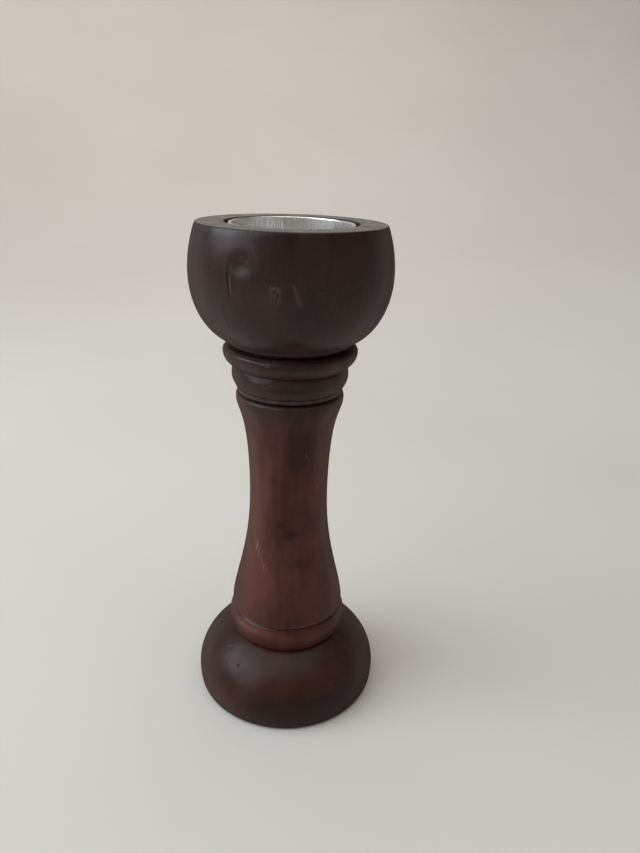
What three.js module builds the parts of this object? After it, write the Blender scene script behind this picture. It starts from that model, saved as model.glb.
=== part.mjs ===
// Candle holder: a wooden pillar turned in three blanks, with a loose metal candle cup in its bowl.
// Millimetres, +Z up. The origin is the centre of the underside, on the surface that it stands on.

import * as THREE from "three";

// Felt pad under the base
const FELT_THICKNESS = 1;
const FELT_INSET = 4; // from the edge of the foot in to the edge of the felt

// Base, a domed bell
const FOOT_RADIUS = 48.8;
const BELLY_SWELL = 1.2; // the widest line stands this far out past the foot
const BELLY_RISE = 7.5; // underside to the widest line
const DOME_RISE = 26.5; // widest line to the seat of the column
const DOME_INSET = 0.9; // from the lower edge of the ring in to the upper edge of the dome

// Ring at the foot of the column
const RING_HEIGHT = 13.6;
const RING_CROWN_RISE = 9.6;
const RING_PROUD = 1.4; // crown past the foot of the shaft
const RING_TAPER = 1.5; // crown to the lower edge
const RING_TOP_FALL = 1.7; // crown to the upper edge
const RING_BEVEL = 1.6; // bevel under the ring, which shows as the joint line on the base
const RING_FULLNESS_BELOW = 0.5; // share of the way to a square corner
const RING_FULLNESS_ABOVE = 0.15;

// V-grooves above the ring and under the beads
const GROOVE_WIDTH = 1.8;
const GROOVE_DEPTH = 1.3;

// Shaft: the upright runs say how long the outline stays near the upright at each end of a curve
const SHAFT_FOOT_RADIUS = 30.4;
const SHAFT_FOOT_RUN = 12;
const WAIST_RADIUS = 20.45;
const WAIST_RISE = 67.3; // foot of the shaft to the waist
const WAIST_RUN_BELOW = 34;
const WAIST_RUN_ABOVE = 45.8;
const SHOULDER_RADIUS = 26.9;
const SHOULDER_RISE = 53.5; // waist to the widest line of the shoulder
const SHOULDER_RUN = 7.2;
const SHOULDER_ROLL_HEIGHT = 1.9; // widest line of the shoulder to the V-groove
const SHOULDER_ROLL_FALL = 0.6;

// Two beads on the neck, over a thin lip
const NECK_LIP_HEIGHT = 1.6;
const NECK_LIP_STEP = 0.4; // the lip stands this far out past the foot of the lower bead
const LOWER_BEAD_HEIGHT = 13; // with the lip
const LOWER_BEAD_CROWN_RISE = 7.4;
const LOWER_BEAD_RADIUS = 28.75;
const UPPER_BEAD_HEIGHT = 9.1;
const UPPER_BEAD_CROWN_RISE = 6.7;
const UPPER_BEAD_RADIUS = 32.9;
const UPPER_BEAD_TOP_FALL = 3.1; // crown in to the edge of the slot
const BEAD_CREASE_RADIUS = 27; // bottom of the crease between the beads
const LOWER_BEAD_FULLNESS = 0.3; // below the crown
const UPPER_BEAD_FULLNESS = 0.5;
const BEAD_TOP_FULLNESS = 0.7;

// Slot between the neck and the bowl
const SLOT_HEIGHT = 2;
const SLOT_RADIUS = 26.5;

// Bowl
const BOWL_RADIUS = 48;
const BOWL_FOOT_RADIUS = 31.2; // end of the lower curve, above the lip
const BOWL_BELLY_RISE = 32.7; // underside to the widest line
const BOWL_SHOULDER_RISE = 22.3; // widest line to the flat rim
const BOWL_RIM_INSET = 4.1; // from the widest line in to the edge of the rim
const BOWL_CURVE_CENTRE = 24; // centre of the lower curve, out from the axis
const BOWL_LIP_HEIGHT = 1.4; // thin lip over the slot
const BOWL_LIP_INSET = 1; // from the end of the lower curve in to the lip
const BOWL_LIP_EDGE = 0.5; // eased edge of the lip
const BOWL_RIM_EDGE = 0.5; // eased edge of the rim

// Candle cup
const CUP_RIM_RADIUS = 29.2;
const CUP_HEIGHT = 24;
const CUP_WALL = 0.5;
const CUP_DRAFT = 0.8; // the wall leans in this far from the rim to the floor
const CUP_CORNER = 2.5; // inside corner between wall and floor
const CUP_RIM_ROLL = 0.7; // radius of the rolled edge
const CUP_DROP = 0.2; // rolled edge below the flat rim of the bowl
const SOCKET_CLEARANCE = 1.4; // gap round the cup in its socket
const SOCKET_BEVEL = 0.6;

// Spigots turned on the ends of the column
const SPIGOT_RADIUS = 13;
const SPIGOT_BEVEL = 1;
const UPPER_SPIGOT_LENGTH = 12;
const LOWER_SPIGOT_LENGTH = 14;
const SPIGOT_CLEARANCE = 0.2;
const SPIGOT_END_GAP = 0.5;

// Screws and washers
const SCREW_RADIUS = 2.4;
const SCREW_HEAD_RADIUS = 4.8;
const SCREW_HEAD_HEIGHT = 3.2;
const SCREW_TIP_LENGTH = 4;
const BOWL_SCREW_LENGTH = 52; // under the head
const BASE_SCREW_LENGTH = 50;
const SCREW_CLEARANCE = 0.3;
const WASHER_RADIUS = 7.5;
const WASHER_THICKNESS = 1.2;
const WASHER_CLEARANCE = 0.5;
const HEAD_DEPTH = 1; // heads lie this far below the surface

// Facets
const WOOD_FACETS = 40;
const CUP_FACETS = 48;
const SMALL_FACETS = 20;
const LONG_STEPS = 9;
const BEAD_STEPS = 4;
const EDGE_STEPS = 2;
const ROLL_STEPS = 9;
const SAME_POINT = 1e-6; // points nearer than this are one

// Radii that follow from the sizes above
const bellyRadius = FOOT_RADIUS + BELLY_SWELL;
const ringRadius = SHAFT_FOOT_RADIUS + RING_PROUD;
const ringEdgeRadius = ringRadius - RING_TAPER;
const domeTopRadius = ringEdgeRadius - DOME_INSET;
const spigotSocketRadius = SPIGOT_RADIUS + SPIGOT_CLEARANCE;
const screwHoleRadius = SCREW_RADIUS + SCREW_CLEARANCE;
const counterboreRadius = WASHER_RADIUS + WASHER_CLEARANCE;
const counterboreDepth = WASHER_THICKNESS + SCREW_HEAD_HEIGHT + HEAD_DEPTH;
const cupSocketRadius = CUP_RIM_RADIUS + SOCKET_CLEARANCE;

// Heights, stacked from the surface up
const baseZ = FELT_THICKNESS;
const bellyZ = baseZ + BELLY_RISE;
const columnZ = bellyZ + DOME_RISE;
const ringTopZ = columnZ + RING_HEIGHT;
const shaftZ = ringTopZ + GROOVE_WIDTH;
const waistZ = shaftZ + WAIST_RISE;
const shoulderZ = waistZ + SHOULDER_RISE;
const shoulderTopZ = shoulderZ + SHOULDER_ROLL_HEIGHT;
const lowerBeadZ = shoulderTopZ + GROOVE_WIDTH;
const upperBeadZ = lowerBeadZ + LOWER_BEAD_HEIGHT;
const slotZ = upperBeadZ + UPPER_BEAD_HEIGHT;
const bowlZ = slotZ + SLOT_HEIGHT;
const bowlBellyZ = bowlZ + BOWL_BELLY_RISE;
const rimZ = bowlBellyZ + BOWL_SHOULDER_RISE;
const cupTopZ = rimZ - CUP_DROP;
const cupZ = cupTopZ - CUP_HEIGHT;

// Seats of the two screws, where each washer bears on the wood
const baseWasherZ = baseZ + counterboreDepth;
const bowlWasherZ = cupZ - counterboreDepth;
const baseScrewZ = baseWasherZ - WASHER_THICKNESS;
const bowlScrewZ = bowlWasherZ + WASHER_THICKNESS;

const at = (radius, z) => new THREE.Vector2(radius, z);

// Curve from one point to the next, with a handle for each
function bend(from, fromHandle, toHandle, to, steps) {
  return new THREE.CubicBezierCurve(from, fromHandle, toHandle, to).getPoints(steps);
}

// Eased edge from one side of a corner to the other
function ease(from, corner, to) {
  return new THREE.QuadraticBezierCurve(from, corner, to).getPoints(EDGE_STEPS);
}

// Stretch of an ellipse, from one angle to another
function arc(centre, radiusAcross, radiusUp, fromAngle, toAngle, steps) {
  const clockwise = toAngle < fromAngle;
  const curve = new THREE.EllipseCurve(
    centre.x, centre.y, radiusAcross, radiusUp, fromAngle, toAngle, clockwise);
  return curve.getPoints(steps);
}

// Bead: swells from its foot to its crown and rolls over to its top
function bead(foot, crown, top, fullnessBelow, fullnessAbove) {
  const swell = bend(
    foot,
    at(THREE.MathUtils.lerp(foot.x, crown.x, fullnessBelow), foot.y),
    at(crown.x, THREE.MathUtils.lerp(crown.y, foot.y, fullnessBelow)),
    crown,
    BEAD_STEPS);
  const roll = bend(
    crown,
    at(crown.x, THREE.MathUtils.lerp(crown.y, top.y, fullnessAbove)),
    at(THREE.MathUtils.lerp(top.x, crown.x, fullnessAbove), top.y),
    top,
    BEAD_STEPS);
  return [...swell, ...roll];
}

// Solid of revolution about Z, from an outline of radii and heights that runs up the outside
function turned(name, outline, facets, material) {
  const points = outline.filter((point, i) => i === 0 || point.distanceTo(outline[i - 1]) > SAME_POINT);
  const geometry = new THREE.LatheGeometry(points, facets);
  geometry.rotateX(Math.PI / 2);
  const mesh = new THREE.Mesh(geometry, material);
  mesh.name = name;
  return mesh;
}

function stainedWood(color, roughness) {
  return new THREE.MeshStandardMaterial({ color, roughness, metalness: 0 });
}

function zincPlate() {
  return new THREE.MeshStandardMaterial({ color: 0xa9aaa8, roughness: 0.4, metalness: 1 });
}

function makeFeltPad() {
  const edge = FOOT_RADIUS - FELT_INSET;
  const outline = [at(0, 0), at(edge, 0), at(edge, FELT_THICKNESS), at(0, FELT_THICKNESS)];
  const felt = new THREE.MeshStandardMaterial({ color: 0x2c2622, roughness: 1, metalness: 0 });
  return turned("felt_pad", outline, WOOD_FACETS, felt);
}

function makeBase() {
  const domeAngle = Math.acos(domeTopRadius / bellyRadius);
  const domeHeight = DOME_RISE / Math.sin(domeAngle);
  const spigotFloorZ = columnZ - LOWER_SPIGOT_LENGTH - SPIGOT_END_GAP;
  const foot = arc(at(FOOT_RADIUS, bellyZ), BELLY_SWELL, BELLY_RISE, -Math.PI / 2, 0, BEAD_STEPS);
  const dome = arc(at(0, bellyZ), bellyRadius, domeHeight, 0, domeAngle, LONG_STEPS);
  const outline = [
    at(counterboreRadius, baseZ),
    ...foot,
    ...dome,
    at(spigotSocketRadius, columnZ),
    at(spigotSocketRadius, spigotFloorZ),
    at(screwHoleRadius, spigotFloorZ),
    at(screwHoleRadius, baseWasherZ),
    at(counterboreRadius, baseWasherZ),
    at(counterboreRadius, baseZ),
  ];
  return turned("base", outline, WOOD_FACETS, stainedWood(0x3f2c29, 0.38));
}

function makeColumn() {
  const spigotFootZ = columnZ - LOWER_SPIGOT_LENGTH;
  const spigotTopZ = bowlZ + UPPER_SPIGOT_LENGTH;
  const lowerPilotZ = baseScrewZ + BASE_SCREW_LENGTH + SCREW_CLEARANCE;
  const upperPilotZ = bowlScrewZ - BOWL_SCREW_LENGTH - SCREW_CLEARANCE;
  const shaftFoot = at(SHAFT_FOOT_RADIUS, shaftZ);
  const waist = at(WAIST_RADIUS, waistZ);
  const shoulder = at(SHOULDER_RADIUS, shoulderZ);
  const neckRadius = SHOULDER_RADIUS - SHOULDER_ROLL_FALL;
  const ring = bead(
    at(ringEdgeRadius, columnZ + RING_BEVEL),
    at(ringRadius, columnZ + RING_CROWN_RISE),
    at(ringRadius - RING_TOP_FALL, ringTopZ),
    RING_FULLNESS_BELOW,
    RING_FULLNESS_ABOVE);
  const lowerShaft = bend(
    shaftFoot,
    at(SHAFT_FOOT_RADIUS, shaftZ + SHAFT_FOOT_RUN),
    at(WAIST_RADIUS, waistZ - WAIST_RUN_BELOW),
    waist,
    LONG_STEPS);
  const upperShaft = bend(
    waist,
    at(WAIST_RADIUS, waistZ + WAIST_RUN_ABOVE),
    at(SHOULDER_RADIUS, shoulderZ - SHOULDER_RUN),
    shoulder,
    LONG_STEPS);
  const shoulderRoll = ease(shoulder, at(SHOULDER_RADIUS, shoulderTopZ), at(neckRadius, shoulderTopZ));
  const lowerBead = bead(
    at(neckRadius - NECK_LIP_STEP, lowerBeadZ + NECK_LIP_HEIGHT),
    at(LOWER_BEAD_RADIUS, lowerBeadZ + LOWER_BEAD_CROWN_RISE),
    at(BEAD_CREASE_RADIUS, upperBeadZ),
    LOWER_BEAD_FULLNESS,
    BEAD_TOP_FULLNESS);
  const upperBead = bead(
    at(BEAD_CREASE_RADIUS, upperBeadZ),
    at(UPPER_BEAD_RADIUS, upperBeadZ + UPPER_BEAD_CROWN_RISE),
    at(UPPER_BEAD_RADIUS - UPPER_BEAD_TOP_FALL, slotZ),
    UPPER_BEAD_FULLNESS,
    BEAD_TOP_FULLNESS);
  const outline = [
    at(0, lowerPilotZ),
    at(screwHoleRadius, lowerPilotZ - SCREW_TIP_LENGTH),
    at(screwHoleRadius, spigotFootZ),
    at(SPIGOT_RADIUS - SPIGOT_BEVEL, spigotFootZ),
    at(SPIGOT_RADIUS, spigotFootZ + SPIGOT_BEVEL),
    at(SPIGOT_RADIUS, columnZ),
    at(ringEdgeRadius - RING_BEVEL, columnZ),
    ...ring,
    at(SHAFT_FOOT_RADIUS - GROOVE_DEPTH, ringTopZ + GROOVE_WIDTH / 2),
    ...lowerShaft,
    ...upperShaft,
    ...shoulderRoll,
    at(neckRadius - GROOVE_DEPTH, shoulderTopZ + GROOVE_WIDTH / 2),
    at(neckRadius, lowerBeadZ),
    at(neckRadius, lowerBeadZ + NECK_LIP_HEIGHT),
    ...lowerBead,
    ...upperBead,
    at(SLOT_RADIUS, slotZ),
    at(SLOT_RADIUS, bowlZ),
    at(SPIGOT_RADIUS, bowlZ),
    at(SPIGOT_RADIUS, spigotTopZ - SPIGOT_BEVEL),
    at(SPIGOT_RADIUS - SPIGOT_BEVEL, spigotTopZ),
    at(screwHoleRadius, spigotTopZ),
    at(screwHoleRadius, upperPilotZ + SCREW_TIP_LENGTH),
    at(0, upperPilotZ),
  ];
  return turned("column", outline, WOOD_FACETS, stainedWood(0x4a302a, 0.42));
}

function makeBowl() {
  const rimRadius = BOWL_RADIUS - BOWL_RIM_INSET;
  const spigotTopZ = bowlZ + UPPER_SPIGOT_LENGTH + SPIGOT_END_GAP;
  const lipRadius = BOWL_FOOT_RADIUS - BOWL_LIP_INSET;
  const lowerAcross = BOWL_RADIUS - BOWL_CURVE_CENTRE;
  const lowerAngle = Math.acos((BOWL_FOOT_RADIUS - BOWL_CURVE_CENTRE) / lowerAcross);
  const lowerUp = (BOWL_BELLY_RISE - BOWL_LIP_HEIGHT) / Math.sin(lowerAngle);
  const upperUp = BOWL_SHOULDER_RISE / Math.sin(Math.acos(rimRadius / BOWL_RADIUS));
  const upperAngle = Math.asin((BOWL_SHOULDER_RISE - BOWL_RIM_EDGE) / upperUp);
  const lowerCentre = at(BOWL_CURVE_CENTRE, bowlBellyZ);
  const lowerCurve = arc(lowerCentre, lowerAcross, lowerUp, -lowerAngle, 0, LONG_STEPS);
  const upperCurve = arc(at(0, bowlBellyZ), BOWL_RADIUS, upperUp, 0, upperAngle, BEAD_STEPS);
  const lipEdge = ease(
    at(lipRadius - BOWL_LIP_EDGE, bowlZ),
    at(lipRadius, bowlZ),
    at(lipRadius, bowlZ + BOWL_LIP_EDGE));
  const rimEdge = ease(
    upperCurve[BEAD_STEPS],
    at(rimRadius, rimZ),
    at(rimRadius - BOWL_RIM_EDGE, rimZ));
  const outline = [
    at(spigotSocketRadius, bowlZ),
    ...lipEdge,
    at(lipRadius, bowlZ + BOWL_LIP_HEIGHT),
    ...lowerCurve,
    ...upperCurve,
    ...rimEdge,
    at(cupSocketRadius + SOCKET_BEVEL, rimZ),
    at(cupSocketRadius, rimZ - SOCKET_BEVEL),
    at(cupSocketRadius, cupZ),
    at(counterboreRadius, cupZ),
    at(counterboreRadius, bowlWasherZ),
    at(screwHoleRadius, bowlWasherZ),
    at(screwHoleRadius, spigotTopZ),
    at(spigotSocketRadius, spigotTopZ),
    at(spigotSocketRadius, bowlZ),
  ];
  return turned("bowl", outline, WOOD_FACETS, stainedWood(0x35241f, 0.34));
}

function makeCandleCup() {
  const rollCentre = at(CUP_RIM_RADIUS - CUP_RIM_ROLL, cupTopZ - CUP_RIM_ROLL);
  const mouthRadius = CUP_RIM_RADIUS - 2 * CUP_RIM_ROLL;
  const floorRadius = mouthRadius - CUP_DRAFT;
  const outerCorner = CUP_CORNER + CUP_WALL;
  const cornerCentre = at(floorRadius - CUP_CORNER, cupZ + outerCorner);
  const rollFootZ = cupTopZ - 2 * CUP_RIM_ROLL;
  const outline = [
    at(0, cupZ),
    ...arc(cornerCentre, outerCorner, outerCorner, -Math.PI / 2, 0, BEAD_STEPS),
    at(mouthRadius + CUP_WALL, rollFootZ),
    ...arc(rollCentre, CUP_RIM_ROLL, CUP_RIM_ROLL, -Math.PI / 2, Math.PI, ROLL_STEPS),
    ...arc(cornerCentre, CUP_CORNER, CUP_CORNER, 0, -Math.PI / 2, BEAD_STEPS),
    at(0, cupZ + CUP_WALL),
  ];
  const metal = new THREE.MeshStandardMaterial({ color: 0xc4c2be, roughness: 0.32, metalness: 1 });
  return turned("candle_cup", outline, CUP_FACETS, metal);
}

function makeWasher(name, z) {
  const outline = [
    at(screwHoleRadius, z),
    at(WASHER_RADIUS, z),
    at(WASHER_RADIUS, z + WASHER_THICKNESS),
    at(screwHoleRadius, z + WASHER_THICKNESS),
    at(screwHoleRadius, z),
  ];
  return turned(name, outline, SMALL_FACETS, zincPlate());
}

// Screw with its tip down: the seat under its head is at its own origin
function makeScrew(name, length) {
  const outline = [
    at(0, -length),
    at(SCREW_RADIUS, SCREW_TIP_LENGTH - length),
    at(SCREW_RADIUS, 0),
    at(SCREW_HEAD_RADIUS, 0),
    ...arc(at(0, 0), SCREW_HEAD_RADIUS, SCREW_HEAD_HEIGHT, 0, Math.PI / 2, BEAD_STEPS),
  ];
  return turned(name, outline, SMALL_FACETS, zincPlate());
}

const bowlScrew = makeScrew("bowl_screw", BOWL_SCREW_LENGTH);
bowlScrew.position.z = bowlScrewZ;

const baseScrew = makeScrew("base_screw", BASE_SCREW_LENGTH);
baseScrew.rotation.x = Math.PI;
baseScrew.position.z = baseScrewZ;

const candleHolder = new THREE.Group();
candleHolder.add(
  makeFeltPad(),
  makeBase(),
  makeWasher("base_screw_washer", baseScrewZ),
  baseScrew,
  makeColumn(),
  makeBowl(),
  makeWasher("bowl_screw_washer", bowlWasherZ),
  bowlScrew,
  makeCandleCup());

export default candleHolder;
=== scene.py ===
"""Looks of a turned wooden candle holder with a loose metal candle cup, in metres, in the frame's axes."""

import math
import random

import bmesh
import bpy
import numpy as np
from mathutils import Matrix, Vector, noise


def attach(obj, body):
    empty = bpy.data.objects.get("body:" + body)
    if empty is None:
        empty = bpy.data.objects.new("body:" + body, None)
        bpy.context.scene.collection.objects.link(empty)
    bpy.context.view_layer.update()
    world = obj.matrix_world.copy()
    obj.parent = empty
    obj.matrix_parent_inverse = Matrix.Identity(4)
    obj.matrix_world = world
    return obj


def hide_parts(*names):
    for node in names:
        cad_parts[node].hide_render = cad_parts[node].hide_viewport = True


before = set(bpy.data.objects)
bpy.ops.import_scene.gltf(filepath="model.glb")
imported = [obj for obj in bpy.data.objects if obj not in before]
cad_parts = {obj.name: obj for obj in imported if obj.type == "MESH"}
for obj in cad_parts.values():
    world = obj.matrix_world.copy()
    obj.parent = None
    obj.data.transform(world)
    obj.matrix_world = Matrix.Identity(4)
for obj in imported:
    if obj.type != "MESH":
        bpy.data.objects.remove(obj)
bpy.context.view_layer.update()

MM = 0.001
EXACT = 1e-6  # points nearer than this are the same
PLACE_DIGITS = 7  # decimals that tell two points of a half section apart

# Camera, as fitted to the photograph
FOCAL_PIXELS = 670
IMAGE_PIXELS_HIGH = 853
SENSOR_MM = 36.0
CAMERA_PLACE = Vector((0, -317.5, 282.9)) * MM
CAMERA_PITCH = 0.38595  # radians, looking down
CAMERA_ROLL = 0.03224
CAMERA_YAW = 0.0491
CLIP_START = 0.01

# Outlines: spacing of the points, easing of the corners
CURVE_STEP = 0.5 * MM
STRAIGHT_STEP = 2.0 * MM
SUPPORT = 0.3 * MM  # a point this near each end of a straight keeps its shading flat
SUPPORT_ROOM = 3 * SUPPORT  # a longer straight has room for both
CORNER_EASE = 0.3 * MM
EASE_MOST = 0.35  # share of the shorter side that an eased corner may take up
EASE_CLEAR = 1.05  # other points keep off the corner by this many times its easing
CORNER_POINTS = 4
CORNER_TURN = math.radians(39)  # a sharper turn is a corner
STRAIGHT_TURN = math.radians(25)  # and so is this beside a straight cut
LONG_SHARE = 10  # a stretch this many times as long as the next one is a straight cut

# Columns of faces round the axis: fine where the photograph looks, wider behind
FRONT_HALF = math.radians(75)
FRONT_STEP = math.radians(0.45)
BACK_STEP = math.radians(1.5)

# Wear, dirt, painted shade and painted highlights on the wood. Azimuths and tilts are in degrees, from the
# front and from upright, to the right.
# Heights, lengths, widths and depths of marks are in millimetres.
EDGE_REACH = 0.5 * MM
CREASE_REACH = 0.6 * MM
FULL_TURN = 1.2  # radians: a corner this sharp wears, with painted highlight, or gathers dirt and painted shade, in full
WAVER = 0.03 * MM  # slow unevenness of a hand turned surface
WAVER_SIZE = 14 * MM
WAVER_FROM = 10 * MM  # radius where it starts, and half the one where it is full
MARK_REACH = 0.8  # a mark's middle is the outermost point this near to its height
LINE_REACH = 0.2  # and so for a thin line
SCUFF_FADE = 1.0
SCUFF_THINNEST = 0.2
SLIT_FADE = 3.0
# dirt and painted shade in a slit
SLIT_DIRT_AND_SHADE = 1.6
SLIT_PALE = 0.5  # strength of the pale line beside a slit
SLIT_PALE_FADE = 2.5
SLIT_PALE_DROP = 0.15  # of the slit's length
SLIT_PALE_LENGTH = 0.6
SLIT_PALE_ASIDE = 1.7  # of the slit's width
SLIT_PALE_WIDTH = 0.7
# dirt and painted shade in an old nick
NICK_DIRT_AND_SHADE = 1.3
SPECK_DEPTH = 0.03
HANDLING_WIDTH = 0.3

# Bowl
LEVEL_RIM = 0.95  # upward share of the normal on its flat rim
GAP_EDGE_RADIUS = 31.4 * MM  # edge of the socket, darkened with painted shade
GAP_EDGE_DEPTH = 1.5 * MM
# strength of the painted shade there
GAP_EDGE_PAINTED_SHADE = 1.5

# Fine strokes of a rubbed arch on the front of the bowl: azimuth, height, length, tilt
BOWL_STROKES = (
    (-10.4, 231.0, 3.5, 8), (-9.7, 228.6, 4.5, 4), (-8.8, 232.6, 2.2, 60),
    (-7.6, 233.4, 2.4, 90), (-6.4, 232.0, 2.6, -50), (-5.6, 229.4, 5.0, -8),
    (-6.2, 226.6, 3.0, 14), (-8.2, 227.8, 3.2, -6), (-7.2, 229.8, 2.0, 20),
)

# Column
COOL_FROM = 163  # height where the red starts to go from the stain
COOL_OVER = 12
COOL_MOST = 0.85
NECK_GROOVE_LOW = 173.2
NECK_GROOVE_HIGH = 174.9
NECK_GROOVE_RADIUS = 26.2 * MM  # the groove lies inside it
# painted shade in the neck's groove
NECK_GROOVE_PAINTED_SHADE = 1.2
NECK_LIP_LOW = 176.1  # crease between the lip and the lower bead
NECK_LIP_HIGH = 177.1
NECK_LIP_DIRT_AND_SHADE = 0.35  # share of the dirt and painted shade that stays there
STREAKS = 16  # rubbed streaks that run down the left of the shaft

# Patches darker or lighter in tone, mostly where the stain took so, some of them painted reflection and
# highlight: azimuth, height, width, length, strength, tilt
COLUMN_STAINS_AND_PAINTED_LIGHT = (
    # dark bands across the two beads: painted reflection
    (-2, 193.4, 11, 0.8, -1.1, 0),
    (-3, 181.4, 8, 0.8, -1.3, 0),
    (1.5, 102.4, 1.5, 2.2, -1.2, 0),
    (9, 103, 4.5, 2.2, -0.35, 0),
    (-10, 108, 3.0, 2.2, -0.3, 0),
    (40, 91, 4, 4, -0.25, 0),
    (16, 86, 9, 3.0, -0.3, 0),
    (10, 147, 7, 12, -0.4, 0),
    (-21, 133, 1.6, 6, -0.35, 8),
    (-45, 105, 5, 40, 0.5, 0),
    (-28, 128, 3, 18, 0.3, 0),
    (-35, 75, 9, 12, 0.3, 0),
    # lighter band on the ring's upper cone: painted highlight
    (-38, 46.8, 13, 1.6, 0.9, 0),
    (0.5, 42, 3, 6, 0.4, 0),
)
BASE_STAINS_AND_PAINTED_LIGHT = (
    # warmer lower left: painted reflection
    (-48, 8, 18, 7, 0.8, 0),
    # the next two: darker at the lower front
    (-4, 11, 19, 8, -1.2, 0),
    (28, 11, 16, 8, -0.8, 0),
    (45, 26, 25, 9, 0.2, 0),
)

# Wood: the noises that it is made of are stretched along the grain, which runs up the axis
COOL_WOOD = ((0.018, 0.0102, 0.0094), (0.054, 0.030, 0.027))  # where the red has gone from the stain
SWAY_SCALE = 16.0
SWAY = (0.006, 0.006, 0.0)
FIBRE_STRETCH = (1, 1, 0.06)
RING_STRETCH = (1, 1, 0.12)
BLOTCH_STRETCH = (1, 1, 0.5)
SMEAR_STRETCH = (1, 1, 0.35)
LATHE_STRETCH = (0.06, 0.06, 1)
PORE_SHADE = 0.35  # of the deepest colour
PORE_SHARE = 0.07
# darkness of the dirt and painted shade in creases, as a share of the deepest colour
DIRT_AND_SHADE_DARKNESS = 0.18
SMEAR_SMOOTHER = 0.06  # roughness that smears take off
SMEAR_ROUGHER = 0.07  # and add
RUB_ROUGH = 0.15
GLANCE_ROUGH = 0.45

# Candle cup
FLUTES = 144
COLUMNS_PER_FLUTE = 6
FLUTE_DEPTH = 0.13 * MM
FLUTE_FADE = 1.6 * MM
SHALLOW_FLUTE = 0.35  # share of the depth that the shallowest flute has
RIM_PLAIN = 1.4 * MM  # no flutes this near to the rim
FOOT_PLAIN = 2.0 * MM  # or to the foot
UPRIGHT_WALL = 0.8  # sideways share of the normal on the wall
LEVEL_FLOOR = 0.9  # upward share of the normal on the floor
RIM_DROP = 0.05 * MM  # the cup's rim in the middle
RIM_TILT = 0.25 * MM  # its front lower, its back higher
FLOOR_REACH = 3 * MM  # the cup's floor, dulled by candles, is less than this above its foot

# Metal
DRAW_STRETCH = (1, 1, 0.04)
USED_SHADE = 0.55  # of the dull colour, where candles have stood
USED_ROUGH = 0.2

# Screws and washers
THREAD_PITCH = 2.1 * MM
THREAD_CORE = 1.75 * MM
THREAD_CREST = 2.55 * MM
THREAD_STEPS = 12  # points in one pitch
THREAD_FLANK = 0.3  # half the thread's width, as a share of the pitch
THREAD_FADE = 3.0 * MM
PLAIN_SHANK = 14.0 * MM
SCREW_COLUMNS = 60
RECESS_ARM = 2.7 * MM
RECESS_WIDTH = 0.95 * MM
RECESS_DEPTH = 2.0 * MM
RECESS_TAPER = 0.45  # size of the recess at its floor
RECESS_FLARE = 1.25  # and of the cutter as far above the head
WASHER_COLUMNS = 96

# Felt
FELT_RING_STEP = 0.8 * MM
FELT_COLUMNS = 480
FELT_FUZZ = 0.28 * MM
FELT_PILE = 0.09 * MM
FELT_TUFT = 1.1 * MM
FELT_GLUED = 0.5  # share of the thickness, down from the glue, over which the pile comes loose
FELT_CONTRAST = 1.6
FELT_EDGE = 0.5  # sideways share of the normal beyond which it is the cut edge

# Stage and light
FLOOR_RADIUS = 0.45
FLOOR_SWEEP = 1.75
FLOOR_ROWS = 8
SWEEP_ROWS = 32
STAGE_COLUMNS = 128
DAYLIGHT = (0.80, 0.92, 1.0)
WINDOW_SPREAD = 100  # degrees
ROOM_COLOUR = (1.0, 0.98, 0.95, 1.0)
ROOM_STRENGTH = 0.12


def read_outline(node):
    """Half section of a turned node: (radius, height) points up its outside, and whether it closes."""
    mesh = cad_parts[node].data
    place = {}
    for vertex in mesh.vertices:
        x, y, z = vertex.co
        if abs(x) < EXACT and y < EXACT:
            place[vertex.index] = (max(0.0, round(-y, PLACE_DIGITS)), round(z, PLACE_DIGITS))
    links = {}
    for edge in mesh.edges:
        a, b = (place.get(i) for i in edge.vertices)
        if a and b and a != b:
            links.setdefault(a, set()).add(b)
            links.setdefault(b, set()).add(a)
    ends = [point for point in links if len(links[point]) == 1]
    chain = [min(ends or links, key=lambda point: (point[1], -point[0]))]
    while True:
        onward = [point for point in links[chain[-1]] if point not in chain]
        if not onward:
            break
        chain.append(max(onward))
    return [Vector(point) for point in chain], not ends


def turn_between(before, after):
    """Angle from one direction to the next in a half section, positive where the wood stands out."""
    return math.atan2(before.x * after.y - before.y * after.x, before.dot(after))


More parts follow.
